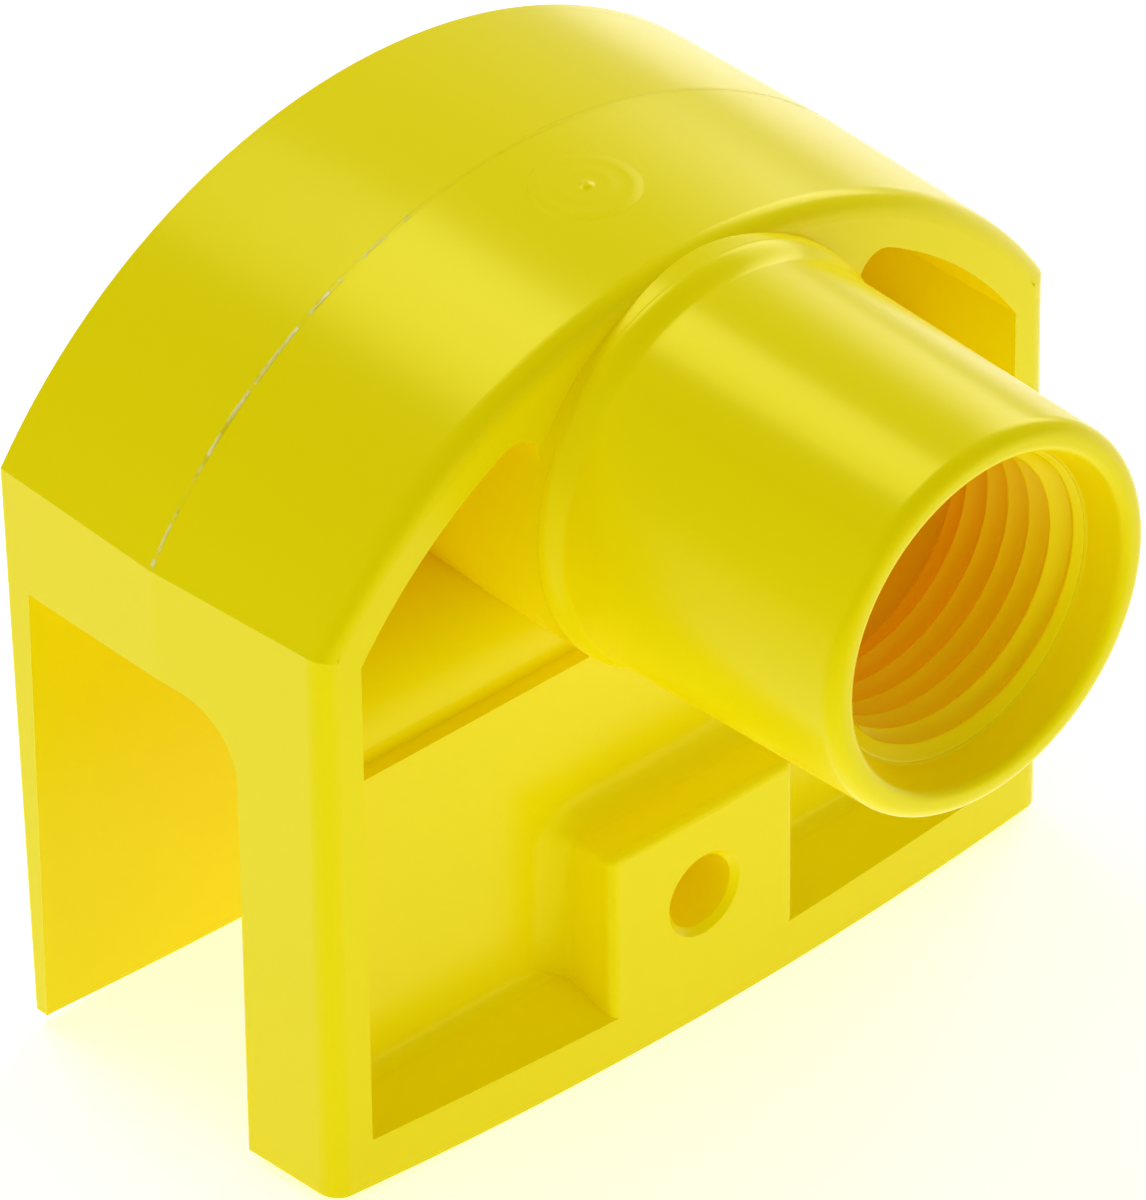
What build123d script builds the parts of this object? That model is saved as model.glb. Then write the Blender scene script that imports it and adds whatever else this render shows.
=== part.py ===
# Fence insulator: a saddle that sits over the edge of a board, with an arched crown
# and a socket with an internal G1/2 thread standing out of its front.
# Frame: X along the board, Y through it (front is -Y), Z up.
# The finished part has its origin on the seat, the slot's upper face, at mid-length.
import os
from build123d import *

os.makedirs("parts", exist_ok=True)

# saddle outline
half_rear = 31.3
half_seam = 31.4
half_front = 30.75
shoulder_rear = 41.4
shoulder_seam = 40.9
shoulder_front = 41.25
top_rear = 57.75
top_seam = 58.25
top_front = 57.7
seam_y = 1.2
front_y = 13.7
front_bulge = 0.85
rear_top_y = 15.3
rear_foot_y = 14.0
foot_sag = 0.95
front_rim_round = 1.5

# slot for the board
slot_front = -6.0
slot_rear = 13.1
slot_top = 32.9
slot_front_round = 4.6
slot_rear_round = 1.4

# hollows in the front
skin = 3.3
end_wall = 3.1
web_round = 1.8
hollow_floor = 34.7
hollow_back = 11.0
panel_top = 27.6
panel_upper_y = -10.2
panel_lower_y = -9.4
shelf_y = -9.0
rail_top = 4.5

# screw boss
boss_half = 7.9
boss_top = 15.2
screw_z = 8.6
screw_r = 2.6
boss_round = 0.7
screw_mouth = 0.45

# socket with the G1/2 thread
socket_z = 42.9
mouth_y = -40.0
barrel_mouth_r = 13.3
barrel_root_r = 13.9
collar_r = 14.5
collar_y = -15.4
thread_minor_r = 9.32
thread_major_r = 10.48
thread_start_y = -37.2
thread_end_y = -26.0
relief_end_y = -22.6
blind_r = 7.6
blind_end_y = -3.0


def arch_outline(half, shoulder, top):
    """Closed outline of the saddle seen from the front."""
    with BuildLine() as outline:
        Polyline((-half, shoulder), (-half, -4), (half, -4), (half, shoulder))
        ThreePointArc((-half, shoulder), (0, top), (half, shoulder))
    make_face(outline.edges())


# the line of the saddle carried on past its front, as a multiple of the front half's depth
reach = (17.0 + seam_y) / (front_y + seam_y)

# the plan: a front that bulges a little, and a back that leans in towards its foot
with BuildPart() as plan_slab:
    for z, rear in ((-4, rear_foot_y), (shoulder_rear, rear_top_y), (62, rear_top_y)):
        with BuildSketch(Plane.XY.offset(z)):
            with BuildLine():
                front = ThreePointArc(
                    (-half_front, -front_y), (0, -front_y - front_bulge), (half_front, -front_y)
                )
                Polyline(front @ 1, (40, -front_y), (40, rear), (-40, rear), (-40, -front_y), front @ 0)
            make_face()
    loft(ruled=True)

# everything above the lower edge, which sags a little at mid-length
with BuildPart() as above_foot:
    with BuildSketch(Plane.XZ):
        with BuildLine():
            foot = ThreePointArc((-half_front, 0), (0, -foot_sag), (half_front, 0))
            Polyline(foot @ 1, (40, 0), (40, 70), (-40, 70), (-40, 0), foot @ 0)
        make_face()
    extrude(amount=30, both=True)

# the hollow crown's inside, as seen from the front; the socket's core stands in it,
# and the narrow corners between the core and the arch are rounded
with BuildPart() as crown_inside:
    with BuildSketch(Plane.XZ.offset(-hollow_back)) as inside:
        arch_outline(half_front - end_wall, shoulder_front - 1.6, top_front - skin)
        with Locations((0, socket_z)):
            Circle(collar_r, mode=Mode.SUBTRACT)
        corners = inside.vertices().filter_by(lambda v: v.Y > socket_z + 2 and abs(v.X) < 20)
        fillet(corners, web_round)
    extrude(amount=40)

# its section from front to back: a shelf, the round over the slot and the floor
with BuildPart() as hollow:
    with BuildSketch(Plane.YZ):
        with BuildLine():
            up = Line((shelf_y, panel_top), (shelf_y, hollow_floor - slot_front_round - 1.4))
            turn = RadiusArc(up @ 1, (shelf_y + slot_front_round + 1.4, hollow_floor), slot_front_round + 1.4)
            Polyline(
                turn @ 1, (hollow_back, hollow_floor), (hollow_back, 70), (-25, 70), (-25, panel_top), up @ 0
            )
        make_face()
    extrude(amount=half_front - end_wall, both=True)
    add(crown_inside.part, mode=Mode.INTERSECT)

# the shallow recess below it, in front of the panel; its floor falls towards mid-length
with BuildPart() as recess:
    for x, lip in ((-half_front + end_wall, 3.9), (0, 1.9), (half_front - end_wall, 3.9)):
        with BuildSketch(Plane.YZ.offset(x)):
            with BuildLine():
                Polyline(
                    (panel_lower_y, rail_top), (panel_upper_y, panel_top), (-20, panel_top),
                    (-20, lip - 2), (panel_lower_y, rail_top), close=False,
                )
            make_face()
    loft(ruled=True)
    back_edges = recess.edges().filter_by(lambda e: e.center().Y > panel_upper_y - 0.1 and e.center().Z < 26)
    fillet(back_edges, 1.2)

# the slot that the board stands in, with its two rounded inner corners
with BuildPart() as slot:
    with BuildSketch(Plane.YZ) as slot_section:
        with BuildLine():
            Polyline(
                (slot_front, -5), (slot_front, slot_top), (slot_rear, slot_top), (slot_rear, -5), close=True
            )
        make_face()
        tops = slot_section.vertices().group_by(Axis.Y)[-1].sort_by(Axis.X)
        fillet(tops[0], slot_front_round)
        fillet(tops[-1], slot_rear_round)
    extrude(amount=40, both=True)

# the moulding as a whole
with BuildPart() as body:
    with BuildSketch(Plane.XZ.offset(-17)):
        arch_outline(half_rear, shoulder_rear, top_rear)
    with BuildSketch(Plane.XZ.offset(-seam_y)):
        arch_outline(half_seam, shoulder_seam, top_seam)
    loft(ruled=True)
    with BuildSketch(Plane.XZ.offset(-seam_y)):
        arch_outline(half_seam, shoulder_seam, top_seam)
    with BuildSketch(Plane.XZ.offset(17)):
        arch_outline(
            half_seam + (half_front - half_seam) * reach,
            shoulder_seam + (shoulder_front - shoulder_seam) * reach,
            top_seam + (top_front - top_seam) * reach,
        )
    loft(ruled=True)
    add(plan_slab.part, mode=Mode.INTERSECT)
    add(above_foot.part, mode=Mode.INTERSECT)
    # round the front's rim and the standing corners
    front_face = body.faces().sort_by(Axis.Y)[0]
    fillet(front_face.edges().filter_by(lambda e: e.center().Z > 1), front_rim_round)
    add(hollow.part, mode=Mode.SUBTRACT)
    add(recess.part, mode=Mode.SUBTRACT)

# the pad round the screw hole, as high as the front
with BuildPart() as boss_blank:
    with BuildSketch(Plane.XZ.offset(8.5)):
        with Locations((0, (boss_top - 3) / 2)):
            RectangleRounded(2 * boss_half + 0.6, boss_top + 3.6, 0.8)
    with BuildSketch(Plane.XZ.offset(front_y + 3)):
        with Locations((0, (boss_top - 3) / 2)):
            RectangleRounded(2 * boss_half - 0.2, boss_top + 2.8, 0.6)
    loft()
    add(plan_slab.part, mode=Mode.INTERSECT)
    add(above_foot.part, mode=Mode.INTERSECT)
    # round its front edges; the rail fills them in again below
    pad_face = boss_blank.faces().sort_by(Axis.Y)[0]
    fillet(pad_face.edges().filter_by(lambda e: e.center().Z > 1), boss_round)

# the socket: collar, barrel with its rounded lip
with BuildPart() as socket_blank:
    with BuildSketch(Plane.YZ):
        with BuildLine():
            Polyline(
                (hollow_back, socket_z), (hollow_back, socket_z + collar_r),
                (collar_y, socket_z + collar_r), (collar_y - 0.9, socket_z + barrel_root_r),
                (mouth_y, socket_z + barrel_mouth_r), (mouth_y, socket_z), close=True,
            )
        make_face()
    revolve(axis=Axis((0, 0, socket_z), (0, 1, 0)))
    lip = socket_blank.edges().filter_by(GeomType.CIRCLE).sort_by(Axis.Y)
    fillet(lip[0], 0.75)
    fillet(lip.sort_by(SortBy.RADIUS)[-2:].sort_by(Axis.Y)[0], 0.5)

# its bore: mouth, counterbore, thread, relief ring and blind end
with BuildPart() as socket_bore:
    with BuildSketch(Plane.YZ):
        with BuildLine():
            Polyline(
                (mouth_y - 1, socket_z),
                (mouth_y - 1, socket_z + thread_major_r + 1.35),
                (mouth_y, socket_z + thread_major_r + 0.75),
                (mouth_y + 0.8, socket_z + thread_major_r + 0.1),
                (thread_start_y, socket_z + thread_major_r + 0.1),
                (thread_start_y, socket_z + thread_minor_r),
                (thread_end_y, socket_z + thread_minor_r),
                (thread_end_y, socket_z + thread_major_r),
                (relief_end_y, socket_z + thread_major_r),
                (relief_end_y, socket_z + blind_r),
                (blind_end_y, socket_z + blind_r - 0.3),
                (blind_end_y, socket_z),
                close=True,
            )
        make_face()
    revolve(axis=Axis((0, 0, socket_z), (0, 1, 0)))

# the hole for the screw
with BuildPart() as screw_hole:
    with BuildSketch(Plane.XZ):
        with Locations((0, screw_z)):
            Circle(screw_r)
    extrude(amount=25)
    with BuildSketch(Plane.XZ.offset(front_y + front_bulge - screw_mouth)):
        with Locations((0, screw_z)):
            Circle(screw_r)
    with BuildSketch(Plane.XZ.offset(front_y + front_bulge + screw_mouth)):
        with Locations((0, screw_z)):
            Circle(screw_r + 2 * screw_mouth)
    loft()

with BuildPart() as whole:
    add(body.part)
    add(boss_blank.part)
    add(socket_blank.part)
    add(slot.part, mode=Mode.SUBTRACT)
    add(socket_bore.part, mode=Mode.SUBTRACT)
    add(screw_hole.part, mode=Mode.SUBTRACT)

# the regions, from the back to the front
inner = half_front - end_wall
post_in = inner - 0.4
rail_split = rail_top + 1.6

# the round zone that the socket's core and collar fill
with BuildPart() as core_zone:
    with BuildSketch(Plane.XZ.offset(-hollow_back)):
        with Locations((0, socket_z)):
            Circle(collar_r)
    extrude(amount=60)

# the zone under the hollow: slot roof and the round behind the shelf
with BuildPart() as roof_zone:
    with Locations((0, (hollow_back + shelf_y) / 2, (hollow_floor + panel_top) / 2)):
        Box(2 * inner, hollow_back - shelf_y, hollow_floor - panel_top)

# everything in front of the panel's sloping face
with BuildPart() as proud_zone:
    with BuildSketch(Plane.YZ):
        with BuildLine():
            Polyline(
                (panel_lower_y + (panel_upper_y - panel_lower_y) * -0.4, rail_top - 9.24),
                (panel_upper_y, panel_top), (-20, panel_top), (-20, rail_top - 9.24), close=True,
            )
        make_face()
    extrude(amount=inner, both=True)

with BuildPart() as rear_wall:
    add(whole.part)
    with Locations((0, hollow_back, 30)):
        Box(80, 20, 90, align=(Align.CENTER, Align.MIN, Align.CENTER), mode=Mode.INTERSECT)

with BuildPart() as crown_rear:
    add(whole.part)
    with Locations((0, seam_y, panel_top)):
        Box(80, hollow_back - seam_y, 40, align=(Align.CENTER, Align.MIN, Align.MIN), mode=Mode.INTERSECT)
    add(roof_zone.part, mode=Mode.SUBTRACT)
    add(core_zone.part, mode=Mode.SUBTRACT)

with BuildPart() as crown_front:
    add(whole.part)
    with Locations((0, seam_y, panel_top)):
        Box(80, 16.2, 40, align=(Align.CENTER, Align.MAX, Align.MIN), mode=Mode.INTERSECT)
    add(roof_zone.part, mode=Mode.SUBTRACT)
    add(core_zone.part, mode=Mode.SUBTRACT)

with BuildPart() as slot_roof:
    add(whole.part)
    add(roof_zone.part, mode=Mode.INTERSECT)

with BuildPart() as socket_core:
    add(whole.part)
    add(core_zone.part, mode=Mode.INTERSECT)
    with Locations((0, shelf_y, hollow_floor)):
        Box(80, hollow_back - shelf_y, 40, align=(Align.CENTER, Align.MIN, Align.MIN), mode=Mode.INTERSECT)

with BuildPart() as socket_collar:
    add(whole.part)
    add(core_zone.part, mode=Mode.INTERSECT)
    with Locations((0, shelf_y, panel_top)):
        Box(80, shelf_y - collar_y, 40, align=(Align.CENTER, Align.MAX, Align.MIN), mode=Mode.INTERSECT)

# the ring of the bore's wall that carries the thread
with BuildPart() as thread_zone:
    with BuildSketch(Plane.XZ.offset(-thread_end_y)):
        with Locations((0, socket_z)):
            Circle(thread_major_r + 0.1)
    extrude(amount=thread_end_y - thread_start_y)

with BuildPart() as socket_barrel:
    add(whole.part)
    with Locations((0, collar_y, panel_top)):
        Box(80, 60, 60, align=(Align.CENTER, Align.MAX, Align.CENTER), mode=Mode.INTERSECT)
    add(thread_zone.part, mode=Mode.SUBTRACT)

with BuildPart() as thread_band:
    add(whole.part)
    add(thread_zone.part, mode=Mode.INTERSECT)

with BuildPart() as left_post:
    add(whole.part)
    with Locations((-post_in, hollow_back, panel_top)):
        Box(20, 40, 40, align=(Align.MAX, Align.MAX, Align.MAX), mode=Mode.INTERSECT)

with BuildPart() as right_post:
    mirror(left_post.part, about=Plane.YZ)

with BuildPart() as front_panel:
    add(whole.part)
    with Locations((0, hollow_back, panel_top)):
        Box(2 * post_in, 40, 40, align=(Align.CENTER, Align.MAX, Align.MAX), mode=Mode.INTERSECT)
    add(proud_zone.part, mode=Mode.SUBTRACT)

with BuildPart() as bottom_rail:
    add(whole.part)
    add(proud_zone.part, mode=Mode.INTERSECT)
    with Locations((0, -12, rail_split)):
        Box(2 * post_in, 20, 20, align=(Align.CENTER, Align.CENTER, Align.MAX), mode=Mode.INTERSECT)

with BuildPart() as screw_boss:
    add(whole.part)
    add(proud_zone.part, mode=Mode.INTERSECT)
    with Locations((0, -12, rail_split)):
        Box(4 * boss_half, 20, 20, align=(Align.CENTER, Align.CENTER, Align.MIN), mode=Mode.INTERSECT)

# names and files
# heights so far are above the lower edge; the finished part has its origin on the seat
to_seat = Location((0, 0, -slot_top))

rear_wall.part.move(to_seat)
rear_wall.part.label = "rear_wall"
export_step(rear_wall.part, "parts/rear_wall.step")

crown_rear.part.move(to_seat)
crown_rear.part.label = "crown_rear"
export_step(crown_rear.part, "parts/crown_rear.step")

crown_front.part.move(to_seat)
crown_front.part.label = "crown_front"
export_step(crown_front.part, "parts/crown_front.step")

slot_roof.part.move(to_seat)
slot_roof.part.label = "slot_roof"
export_step(slot_roof.part, "parts/slot_roof.step")

socket_core.part.move(to_seat)
socket_core.part.label = "socket_core"
export_step(socket_core.part, "parts/socket_core.step")

socket_collar.part.move(to_seat)
socket_collar.part.label = "socket_collar"
export_step(socket_collar.part, "parts/socket_collar.step")

socket_barrel.part.move(to_seat)
socket_barrel.part.label = "socket_barrel"
export_step(socket_barrel.part, "parts/socket_barrel.step")

thread_band.part.move(to_seat)
thread_band.part.label = "thread_band"
export_step(thread_band.part, "parts/thread_band.step")

left_post.part.move(to_seat)
left_post.part.label = "left_post"
export_step(left_post.part, "parts/left_post.step")

right_post.part.move(to_seat)
right_post.part.label = "right_post"
export_step(right_post.part, "parts/right_post.step")

front_panel.part.move(to_seat)
front_panel.part.label = "front_panel"
export_step(front_panel.part, "parts/front_panel.step")

bottom_rail.part.move(to_seat)
bottom_rail.part.label = "bottom_rail"
export_step(bottom_rail.part, "parts/bottom_rail.step")

screw_boss.part.move(to_seat)
screw_boss.part.label = "screw_boss"
export_step(screw_boss.part, "parts/screw_boss.step")
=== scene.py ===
import math

import bpy
import numpy as np
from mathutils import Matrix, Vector


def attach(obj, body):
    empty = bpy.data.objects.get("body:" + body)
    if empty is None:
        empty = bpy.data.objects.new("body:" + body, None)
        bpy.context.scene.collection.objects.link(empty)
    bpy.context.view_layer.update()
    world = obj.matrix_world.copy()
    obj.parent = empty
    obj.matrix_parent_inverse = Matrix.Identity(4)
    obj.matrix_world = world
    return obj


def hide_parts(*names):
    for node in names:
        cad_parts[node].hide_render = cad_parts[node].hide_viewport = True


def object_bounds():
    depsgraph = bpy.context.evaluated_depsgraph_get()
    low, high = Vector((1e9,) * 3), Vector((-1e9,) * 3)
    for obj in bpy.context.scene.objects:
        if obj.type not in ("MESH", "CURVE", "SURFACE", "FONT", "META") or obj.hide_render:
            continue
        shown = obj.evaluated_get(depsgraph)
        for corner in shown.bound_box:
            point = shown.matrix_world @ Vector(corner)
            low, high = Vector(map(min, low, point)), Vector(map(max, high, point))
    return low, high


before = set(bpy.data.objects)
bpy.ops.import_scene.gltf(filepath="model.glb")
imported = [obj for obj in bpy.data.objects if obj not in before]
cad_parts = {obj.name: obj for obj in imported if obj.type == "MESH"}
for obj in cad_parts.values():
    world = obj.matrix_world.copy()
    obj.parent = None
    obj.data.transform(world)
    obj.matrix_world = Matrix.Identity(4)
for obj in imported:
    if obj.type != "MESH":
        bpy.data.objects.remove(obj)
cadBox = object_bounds()
print("frame loaded:", len(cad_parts), "nodes")


# an expression on a wrapped value socket adds its Math nodes
class Sock:
    def __init__(self, tree, link):
        self.tree, self.link = tree, link

    def maths(self, op, other=None, flip=False):
        values = [other, self] if flip else [self, other]
        return self.tree.add("ShaderNodeMath", {"operation": op}, [v for v in values if v is not None])

    def __add__(self, o): return self.maths("ADD", o)
    def __radd__(self, o): return self.maths("ADD", o)
    def __sub__(self, o): return self.maths("SUBTRACT", o)
    def __rsub__(self, o): return self.maths("SUBTRACT", o, flip=True)
    def __mul__(self, o): return self.maths("MULTIPLY", o)
    def __rmul__(self, o): return self.maths("MULTIPLY", o)
    def __truediv__(self, o): return self.maths("DIVIDE", o)
    def __rtruediv__(self, o): return self.maths("DIVIDE", o, flip=True)
    def root(self): return self.maths("SQRT")
    def clamp(self): return self.tree.add("ShaderNodeClamp", {}, {"Value": self})


# a material's node tree: add makes any node, put sets or links a socket
class Tree:
    def __init__(self, name):
        self.material = bpy.data.materials.new(name)
        self.material.use_nodes = True
        self.nodes = self.material.node_tree.nodes
        self.links = self.material.node_tree.links
        self.shader = self.nodes["Principled BSDF"]

    def add(self, kind, settings=None, values=None, out=0):
        node = self.nodes.new(kind)
        for key, value in (settings or {}).items():
            setattr(node, key, value)
        items = values.items() if isinstance(values, dict) else enumerate(values or [])
        for key, value in items:
            self.put(node.inputs[key], value)
        return Sock(self, node.outputs[out])

    def put(self, socket, value):
        if isinstance(value, Sock):
            self.links.new(value.link, socket)
        else:
            socket.default_value = value

    def coordinates(self):
        place = self.add("ShaderNodeTexCoord", out=3)
        split = self.add("ShaderNodeSeparateXYZ", {}, [place])
        return [place] + [Sock(self, out) for out in split.link.node.outputs]

    def blend(self, factor, first, second):
        return self.add("ShaderNodeMix", {"data_type": "RGBA"}, {0: factor, 6: first, 7: second}, out=2)


# a long lens, looking down at the socket's left
camera = {"place": (-0.41276, -0.45616, 0.43267), "turn": (54.2544, 0.5791, -42.6470), "lens": 360.0,
          "shift": (0.0098, 0.0111), "clip": (0.05, 20)}

camData = bpy.data.cameras.new("camera")
camData.lens = camera["lens"]
camData.shift_x, camData.shift_y = camera["shift"]
camData.clip_start, camData.clip_end = camera["clip"]
camObject = bpy.data.objects.new("camera", camData)
camObject.location = camera["place"]
camObject.rotation_euler = [math.radians(a) for a in camera["turn"]]
bpy.context.collection.objects.link(camObject)
bpy.context.scene.camera = camObject
print("camera placed")


floor = {"size": 16.0, "colour": (0.93, 0.93, 0.92, 1), "roughness": 0.9, "lift": 0.52}


def makeFloor():
    # one square, flat, just under the lowest point
    low = cadBox[0][2]
    half = floor["size"] / 2
    mesh = bpy.data.meshes.new("floor")
    mesh.from_pydata([(-half, -half, low), (half, -half, low), (half, half, low), (-half, half, low)],
                     [], [(0, 1, 2, 3)])
    obj = bpy.data.objects.new("floor", mesh)
    bpy.context.collection.objects.link(obj)
    tree = Tree("pale floor")
    tree.put(tree.shader.inputs["Base Color"], floor["colour"])
    tree.put(tree.shader.inputs["Roughness"], floor["roughness"])
    tree.put(tree.shader.inputs["Emission Color"], (1, 1, 1, 1))
    tree.put(tree.shader.inputs["Emission Strength"], floor["lift"])
    mesh.materials.append(tree.material)


lights = {
    "over": {"from": (0.0, 0.38, 0.69), "size": 0.32, "power": 1.55},
    "right": {"from": (0.70, 0.25, 0.40), "size": 0.45, "power": 1.95},
    "left": {"from": (-0.75, -0.05, 0.30), "size": 0.6, "power": 0.46},
    "front": {"from": (0.10, -0.85, 0.12), "size": 0.7, "power": 0.58},
}


def makeLight(name, spec):
    data = bpy.data.lights.new(name, "AREA")
    data.energy, data.size = spec["power"], spec["size"]
    obj = bpy.data.objects.new(name, data)
    obj.location = spec["from"]
    obj.rotation_euler = Vector(spec["from"]).to_track_quat("Z", "Y").to_euler()
    bpy.context.collection.objects.link(obj)


makeFloor()
for lightName, lightSpec in lights.items():
    makeLight(lightName, lightSpec)

studio = {"colour": (1, 1, 1, 1), "strength": 0.33}
world = bpy.data.worlds.new("studio")
world.use_nodes = True
world.node_tree.nodes["Background"].inputs["Color"].default_value = studio["colour"]
world.node_tree.nodes["Background"].inputs["Strength"].default_value = studio["strength"]
bpy.context.scene.world = world
bpy.context.scene.view_settings.view_transform = "Standard"
print("floor and lights made")


# the colour inside the bore is painted shade, an orange where shade falls in it; the orange emission is a
# painted glow over all of the plastic, which turns its shade orange
plastic = {"colour": (0.90, 0.84, 0.0, 1), "dull": (0.90, 0.785, 0.0, 1), "paintedBoreShade": (0.92, 0.57, 0.0, 1),
           "roughness": 0.25, "roughnessSwing": 0.08, "flow": 45.0, "flowDetail": 3.0, "flowTwist": 0.6,
           "flowFrom": 0.35, "flowMix": 0.5, "flowDepth": 0.000008, "grain": 900.0, "grainDetail": 2.0,
           "grainDepth": 0.000005, "bumpStrength": 0.5, "sheenTint": (1, 0.95, 0.04, 1),
           "inner": (1.0, 0.42, 0.0, 1), "paintedGlowStrength": 0.10}

# the round space inside the bore that takes the painted orange shade, narrower behind the thread
bore = {"height": 0.0100, "radius": 0.0118, "mouth": -0.0385, "depth": 0.013,
        "blindRadius": 0.0085, "blindFrom": -0.0215, "end": -0.0015, "edge": 1500}


def mouldedPlastic():
    # yellow with faint flow marks; painted orange shade inside the bore and a painted orange glow over all of it
    # turn the shaded hollow places orange
    tree = Tree("yellow moulded plastic")
    place, x, y, z = tree.coordinates()
    flow = tree.add("ShaderNodeTexNoise", {}, {"Vector": place, "Scale": plastic["flow"],
                                               "Detail": plastic["flowDetail"],
                                               "Distortion": plastic["flowTwist"]})
    grain = tree.add("ShaderNodeTexNoise", {}, {"Vector": place, "Scale": plastic["grain"],
                                                "Detail": plastic["grainDetail"]})
    dulled = (flow - plastic["flowFrom"]) * plastic["flowMix"]
    colour = tree.blend(dulled, plastic["colour"], plastic["dull"])
    # painted shade: the inside of the bore, wide at the mouth and narrower behind the thread, is coloured orange
    fromAxis = (x * x + (z - bore["height"]) * (z - bore["height"])).root()
    wide = ((bore["blindFrom"] - y) * bore["edge"]).clamp() * (bore["radius"] - bore["blindRadius"])
    boreShadeMask = ((wide + bore["blindRadius"] - fromAxis) * bore["edge"]).clamp()
    boreShadeMask = boreShadeMask * ((y - bore["mouth"]) / bore["depth"]).clamp() * ((bore["end"] - y) * bore["edge"]).clamp()
    tree.put(tree.shader.inputs["Base Color"], tree.blend(boreShadeMask, colour, plastic["paintedBoreShade"]))
    tree.put(tree.shader.inputs["Roughness"], plastic["roughness"] + (flow - 0.5) * plastic["roughnessSwing"])
    height = grain * plastic["grainDepth"] + flow * plastic["flowDepth"]
    bump = tree.add("ShaderNodeBump", {}, {"Height": height, "Distance": 1.0,
                                           "Strength": plastic["bumpStrength"]})
    tree.put(tree.shader.inputs["Normal"], bump)
    tree.put(tree.shader.inputs["Specular Tint"], plastic["sheenTint"])
    # painted glow: a faint orange emission over all of the plastic, so that its shade goes orange
    tree.put(tree.shader.inputs["Emission Color"], plastic["inner"])
    tree.put(tree.shader.inputs["Emission Strength"], plastic["paintedGlowStrength"])
    return tree.material


flashLook = {"pale": (1.0, 0.96, 0.30, 1), "from": -0.0095, "fade": 250, "roughness": 0.30,
             "patches": 900.0, "patchFrom": 0.35, "patchEdge": 5}


def stressWhiteAndHighlightFlash():
    # the thin flash is pale in patches where it is thickest, on one shoulder of the arch: partly stress-whitened
    # plastic, partly a painted highlight where the flash catches the light
    tree = Tree("stress-white flash with painted highlight")
    place, x, _, _ = tree.coordinates()
    patches = tree.add("ShaderNodeTexNoise", {}, {"Vector": place, "Scale": flashLook["patches"]})
    onShoulder = ((flashLook["from"] - x) * flashLook["fade"]).clamp()
    amount = onShoulder * ((patches - flashLook["patchFrom"]) * flashLook["patchEdge"]).clamp()
    # painted highlight together with stress whitening: pale patches on that shoulder only
    tree.put(tree.shader.inputs["Base Color"], tree.blend(amount, plastic["dull"], flashLook["pale"]))
    tree.put(tree.shader.inputs["Roughness"], flashLook["roughness"])
    return tree.material


yellow = mouldedPlastic()
flashWhiteAndHighlight = stressWhiteAndHighlightFlash()
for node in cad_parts.values():
    mesh = node.data
    mesh.materials.clear()
    mesh.materials.append(yellow)
print("plastic on every region")


def wrapFaces(rows, columns, loopRows, loopColumns):
    # four corners of every grid cell; a looped direction joins its last line to its first
    i = np.arange(rows if loopRows else rows - 1)[:, None]
    j = np.arange(columns if loopColumns else columns - 1)[None, :]
    down, right = (i + 1) % rows, (j + 1) % columns
    return np.stack([i * columns + j, i * columns + right, down * columns + right, down * columns + j],
                    -1).reshape(-1, 4)


def gridPiece(name, points, loopRows, loopColumns, material=yellow):
    # points[row, column] = place in metres; turned to face outwards by the sign of its volume
    rows, columns, _ = points.shape
    corners = points.reshape(-1, 3)
    faces = wrapFaces(rows, columns, loopRows, loopColumns)
    caps = []
    if loopColumns and not loopRows:
        caps = [list(range(columns - 1, -1, -1)), list(range((rows - 1) * columns, rows * columns))]
    a, b, c, d = (corners[faces[:, k]] for k in range(4))
    if (np.einsum("ij,ij->i", a, np.cross(b, c)) + np.einsum("ij,ij->i", a, np.cross(c, d))).sum() < 0:
        faces = faces[:, ::-1]
        caps = [cap[::-1] for cap in caps]
    mesh = bpy.data.meshes.new(name)
    mesh.from_pydata(corners.tolist(), [], faces.tolist() + caps)
    mesh.shade_smooth()
    mesh.materials.append(material)
    piece = bpy.data.objects.new(name, mesh)
    bpy.context.collection.objects.link(piece)
    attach(piece, "root")
    return piece


# the thread in the socket
thread = {"height": 0.0100, "start": -0.0372, "end": -0.0260, "pitch": 0.001814, "outer": 0.01058,
          "crest": 0.00936, "root": 0.01042, "leadIn": 0.01050, "relief": 0.01046, "round": 0.93,
          "narrow": 0.7, "runOut": 1.1, "around": 256, "along": 170}


def threadSurface():
    # radius = crest + depth x softened triangle wave of (distance / pitch + angle / full turn), raised to a
    # power under one so that the crests are narrower than the roots, and never less than a cone at either end
    t = thread
    angle = np.linspace(0, 2 * np.pi, t["around"], endpoint=False)[:, None]
    y = np.linspace(t["start"], t["end"], t["along"])[None, :]
    wave = np.arcsin(t["round"] * np.cos(2 * np.pi * y / t["pitch"] + angle)) / math.asin(t["round"])
    wave = ((1 + wave) / 2) ** t["narrow"]
    radius = t["crest"] + (t["root"] - t["crest"]) * wave
    radius = np.maximum(radius, t["leadIn"] - (y - t["start"]) * t["runOut"])
    radius = np.maximum(radius, t["relief"] - (t["end"] - y) * t["runOut"])
    wall = np.full((t["around"], 2), t["outer"])
    radius = np.concatenate([radius, wall], 1)
    y = np.concatenate([np.broadcast_to(y, (t["around"], t["along"])), wall * 0 + t["end"]], 1)
    y[:, -1] = t["start"]
    return np.stack([radius * np.cos(angle), y, t["height"] + radius * np.sin(angle)], -1)


socketThread = gridPiece("socket_thread", threadSurface(), True, True)
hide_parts("thread_band")
print("thread made")


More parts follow.
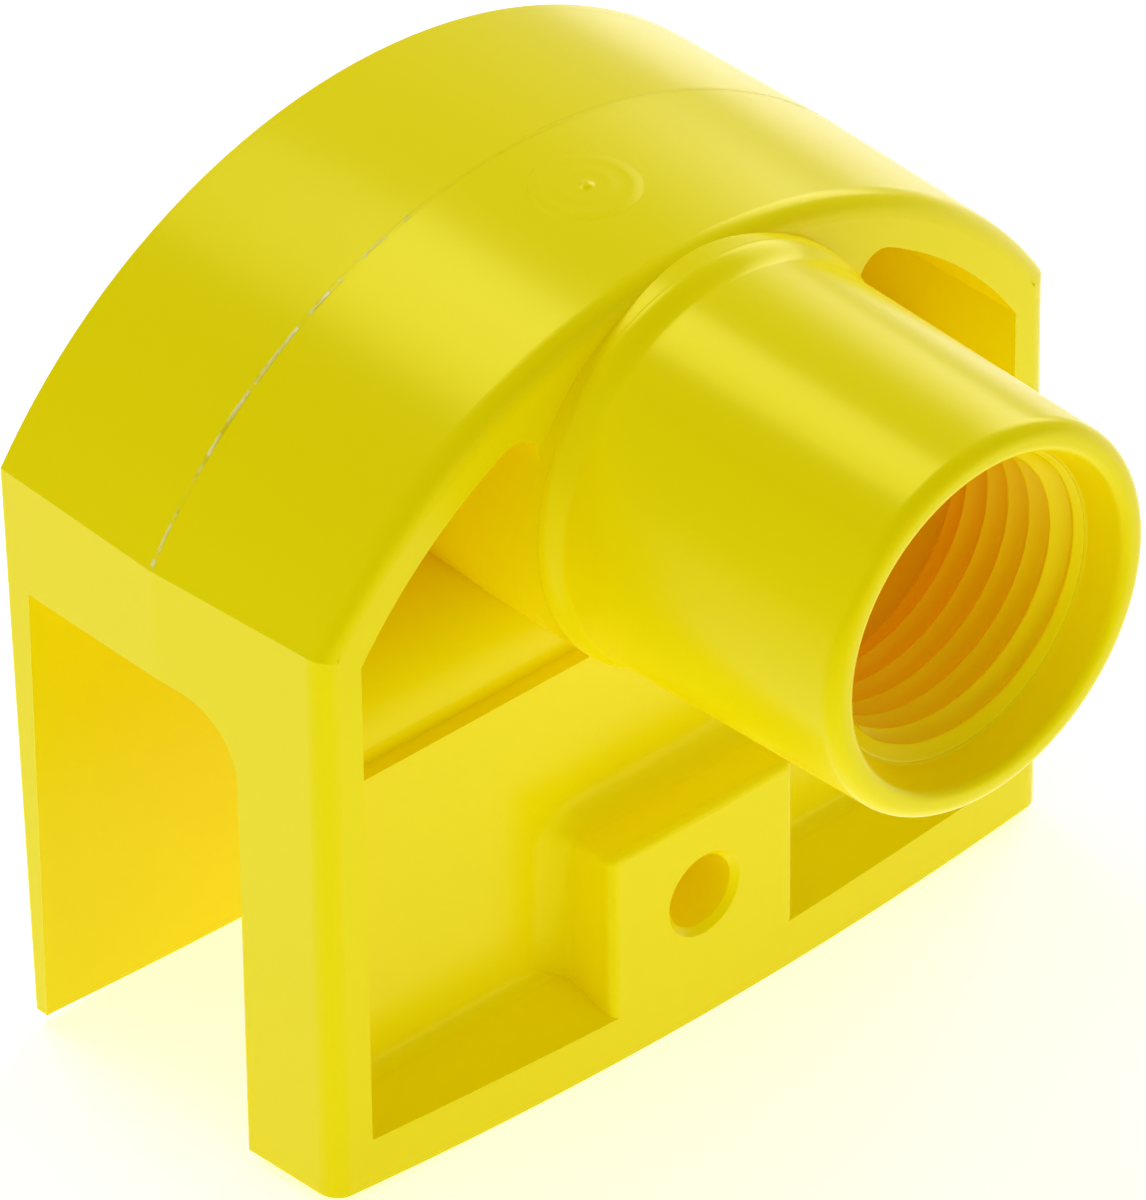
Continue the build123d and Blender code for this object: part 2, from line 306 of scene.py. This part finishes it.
# the collar's end, the barrel and its bore
barrel = {"height": 0.0100, "root": -0.0154, "mouth": -0.0400, "collar": 0.0145, "rootRadius": 0.01388,
          "mouthRadius": 0.0133, "coveLength": 0.0020, "lipRound": 0.0011, "innerLip": 0.01195,
          "innerRound": 0.0007, "cone": 0.01062, "bore": 0.01058, "threadStart": -0.0372,
          "threadEnd": -0.0260, "relief": 0.01048, "reliefEnd": -0.0226, "blind": 0.0076,
          "corner": 0.0004, "blindRoot": 0.00749, "tuck": 0.0003, "hair": 0.00001, "around": 288}


def arcPoints(centre, radius, start, end, count):
    # a round in the profile: centre + radius x (cosine, sine), from one angle to the other, in degrees
    turn = np.radians(np.linspace(start, end, count))
    return np.stack([centre[0] + radius * np.cos(turn), centre[1] + radius * np.sin(turn)], -1)


def barrelSurface():
    # the profile (along, radius) turned about the socket's axis: collar's round, cove, taper, rounded lip,
    # cone down to the thread, and the plain bore behind it
    b = barrel
    slide = np.linspace(0, 1, 26)
    ease = slide * slide * (3 - 2 * slide)
    step = np.stack([b["root"] - b["coveLength"] * slide,
                     b["collar"] - (b["collar"] - b["rootRadius"]) * ease], -1)
    run = np.linspace(0.03, 1, 14)
    lipStart = b["mouth"] + b["lipRound"]
    taper = np.stack([step[-1, 0] + (lipStart - step[-1, 0]) * run,
                      b["rootRadius"] + (b["mouthRadius"] - b["rootRadius"]) * run], -1)
    lip = arcPoints((lipStart, b["mouthRadius"] - b["lipRound"]), b["lipRound"], 90, 180, 14)[1:]
    inner = arcPoints((b["mouth"] + b["innerRound"], b["innerLip"]), b["innerRound"], 180, 245, 9)
    cone = np.stack([np.linspace(inner[-1, 0], b["threadStart"], 10)[1:],
                     np.linspace(inner[-1, 1], b["cone"], 10)[1:]], -1)
    behind = np.array([(b["threadStart"], b["bore"]), (b["threadEnd"], b["bore"]), (b["threadEnd"], b["relief"]),
                       (b["reliefEnd"] - b["corner"], b["relief"]),
                       (b["reliefEnd"], b["relief"] - b["corner"]),
                       (b["reliefEnd"], b["blind"]), (b["root"], b["blindRoot"])])
    tucked = np.array([(b["root"] + b["tuck"], b["blindRoot"]),
                       (b["root"] + b["tuck"], b["collar"] - b["hair"])])
    profile = np.concatenate([step, taper, lip, inner, cone, behind, tucked])
    turn = np.linspace(0, 2 * np.pi, b["around"], endpoint=False)[:, None]
    along = np.broadcast_to(profile[:, 0], (b["around"], len(profile)))
    return np.stack([profile[:, 1] * np.cos(turn), along, b["height"] + profile[:, 1] * np.sin(turn)], -1)


socketTube = gridPiece("socket_tube", barrelSurface(), True, True)
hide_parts("socket_barrel")
print("socket made")


# the hollow round at the foot of the boss
cove = {"half": 0.00810, "top": -0.01748, "corner": 0.0010, "bottom": -0.0295, "radius": 0.0022,
        "draft": 0.00012, "sunk": 0.0003, "tuck": 0.00002, "panelLowY": -0.0094, "panelHighY": -0.0102,
        "panelLowZ": -0.0284, "panelHighZ": -0.0053, "steps": 14}


def coveSurface():
    # carried round the boss's outline, up one side, over and down the other: its section is a quarter of a
    # hollow round from the boss's wall to the panel, which runs on a little under both and closes behind
    c = cove
    side = np.linspace(c["bottom"], c["top"] - c["corner"], 24)
    turn = np.linspace(np.pi, np.pi / 2, 16)
    left = np.concatenate([
        np.stack([side * 0 - c["half"], side, side * 0 - 1, side * 0], -1),
        np.stack([-c["half"] + c["corner"] + c["corner"] * np.cos(turn),
                  c["top"] - c["corner"] + c["corner"] * np.sin(turn), np.cos(turn), np.sin(turn)], -1)[1:]])
    right = left[::-1] * [-1, 1, -1, 1]
    span = np.linspace(-1, 1, 20)[1:-1] * (c["half"] - c["corner"])
    middle = np.stack([span, span * 0 + c["top"], span * 0, span * 0 + 1], -1)
    path = np.concatenate([left, middle, right])
    angle = np.linspace(0, np.pi / 2, c["steps"])
    away = (c["radius"] + c["draft"]) * (1 - np.cos(angle)) - c["draft"]
    above = c["radius"] * (1 - np.sin(angle))
    past = c["radius"] + c["sunk"]
    away = np.concatenate([[-c["draft"] - c["tuck"]], away, [past, past, -c["sunk"], -c["sunk"]]])[None, :]
    above = np.concatenate([[past], above, [-c["tuck"], -c["sunk"], -c["sunk"], past]])[None, :]
    x = path[:, 0:1] + path[:, 2:3] * away
    z = path[:, 1:2] + path[:, 3:4] * away
    lean = (c["panelHighY"] - c["panelLowY"]) / (c["panelHighZ"] - c["panelLowZ"])
    y = c["panelLowY"] + lean * (z - c["panelLowZ"]) - above
    return np.stack([x, y, z], -1)


gridPiece("boss_cove", coveSurface(), False, True)
print("cove round the boss made")


# the crown's outline, where the two halves of the mould met
crown = {"seamY": 0.0012, "half": 0.0314, "shoulder": 0.0080, "top": 0.02535,
         "frontY": -0.0137, "frontHalf": 0.03075, "frontShoulder": 0.00835, "frontTop": 0.0248}


def crownHeight(x, y):
    # height of the arch at (x, y): a circle through the shoulders and the top, blended from seam to front
    blend = (crown["seamY"] - y) / (crown["seamY"] - crown["frontY"])
    half = crown["half"] + (crown["frontHalf"] - crown["half"]) * blend
    shoulder = crown["shoulder"] + (crown["frontShoulder"] - crown["shoulder"]) * blend
    top = crown["top"] + (crown["frontTop"] - crown["top"]) * blend
    rise = top - shoulder
    radius = (half ** 2 + rise ** 2) / (2 * rise)
    return top - radius + np.sqrt(radius ** 2 - x ** 2)


def seamLine(count):
    # over the arch from shoulder to shoulder, at even spacing
    x = crown["half"] * np.sin(np.linspace(-np.pi / 2, np.pi / 2, 4000))
    line = np.stack([x, crownHeight(x, x * 0 + crown["seamY"])], -1)
    run = np.concatenate([[0], np.cumsum(np.hypot(*np.diff(line, axis=0).T))])
    at = np.linspace(0, run[-1], count)
    return np.stack([np.interp(at, run, line[:, k]) for k in (0, 1)], -1), at


def raggedness(at, seed, cells):
    # sum of value noises at several spacings, from 0 to 1
    random = np.random.default_rng(seed)
    total = np.zeros_like(at)
    for k, size in enumerate(cells):
        knots = random.random(int(at.max() / size) + 3)
        total += np.interp(at / size, np.arange(knots.size), knots) / len(cells)
    return total


# the flash along it, which stands up on one shoulder and sinks away elsewhere
flash = {"steps": 1400, "width": 0.00026, "sunk": 0.00006, "least": -0.00005, "most": 0.00020,
         "thickAt": -0.0205, "spread": 0.0070, "elsewhere": 0.12, "gain": 3.2, "seed": 4,
         "cells": (0.006, 0.0016, 0.0005), "widthSeed": 9, "widthCells": (0.003, 0.0008)}


def flashSurface():
    # a low ridge carried along the seam: its height is the raggedness, cubed so that it breaks off
    line, at = seamLine(flash["steps"])
    step = np.gradient(line, axis=0)
    out = np.stack([-step[:, 1], step[:, 0]], -1)
    out /= np.linalg.norm(out, axis=1)[:, None]
    ragged = raggedness(at, flash["seed"], flash["cells"]) ** 3 * flash["gain"]
    thick = np.exp(-((line[:, 0] - flash["thickAt"]) / flash["spread"]) ** 2)
    ragged = ragged * (flash["elsewhere"] + thick)
    height = flash["least"] + flash["most"] * np.clip(ragged, 0, 1)
    turn = np.linspace(0, 2 * np.pi, 9)[:-1][None, :]
    side = np.cos(turn) * flash["width"] / 2
    lift = np.where(np.sin(turn) > 0, np.sin(turn) * height[:, None], np.sin(turn) * flash["sunk"])
    side = side * (0.6 + 0.8 * raggedness(at, flash["widthSeed"], flash["widthCells"]))[:, None]
    return np.stack([line[:, 0:1] + out[:, 0:1] * lift, crown["seamY"] + side,
                     line[:, 1:2] + out[:, 1:2] * lift], -1)


gridPiece("parting_flash", flashSurface(), False, True, flashWhiteAndHighlight)


# the mark that the injection point left on the crown
gate = {"x": -0.0007, "y": -0.0049, "start": 0.00002, "reach": 0.0036, "ring": 0.0029, "ringWidth": 0.00035,
        "ringRise": 0.000022, "innerRing": 0.55, "innerRise": 0.7, "dot": 0.00042, "dotRise": 0.00014,
        "lift": 0.000012, "rim": 0.0003, "settle": 0.000004, "sunk": 0.0002}


def gateSurface():
    # a disc laid on the crown: its two rings and its dot are bell curves of the distance from its centre
    g = gate
    r = np.linspace(g["start"], g["reach"], 60)[None, :]
    turn = np.linspace(0, 2 * np.pi, 96, endpoint=False)[:, None]
    x = g["x"] + r * np.cos(turn)
    y = g["y"] + r * np.sin(turn)
    rise = g["ringRise"] * np.exp(-((r - g["ring"]) / g["ringWidth"]) ** 2)
    inside = (r - g["ring"] * g["innerRing"]) / g["ringWidth"]
    rise = rise + g["ringRise"] * g["innerRise"] * np.exp(-inside ** 2)
    rise = rise + g["dotRise"] * np.exp(-(r / g["dot"]) ** 4) + g["lift"]
    rise = rise * np.clip((g["reach"] - r) / g["rim"], 0, 1) - g["settle"]
    top = np.stack([x, y, crownHeight(x, y) + rise], -1)
    under = top[:, ::-1] - np.array([0, 0, g["sunk"]])
    return np.concatenate([top, under], 1)


gridPiece("gate_mark", gateSurface(), True, True)
print("flash and gate mark made")
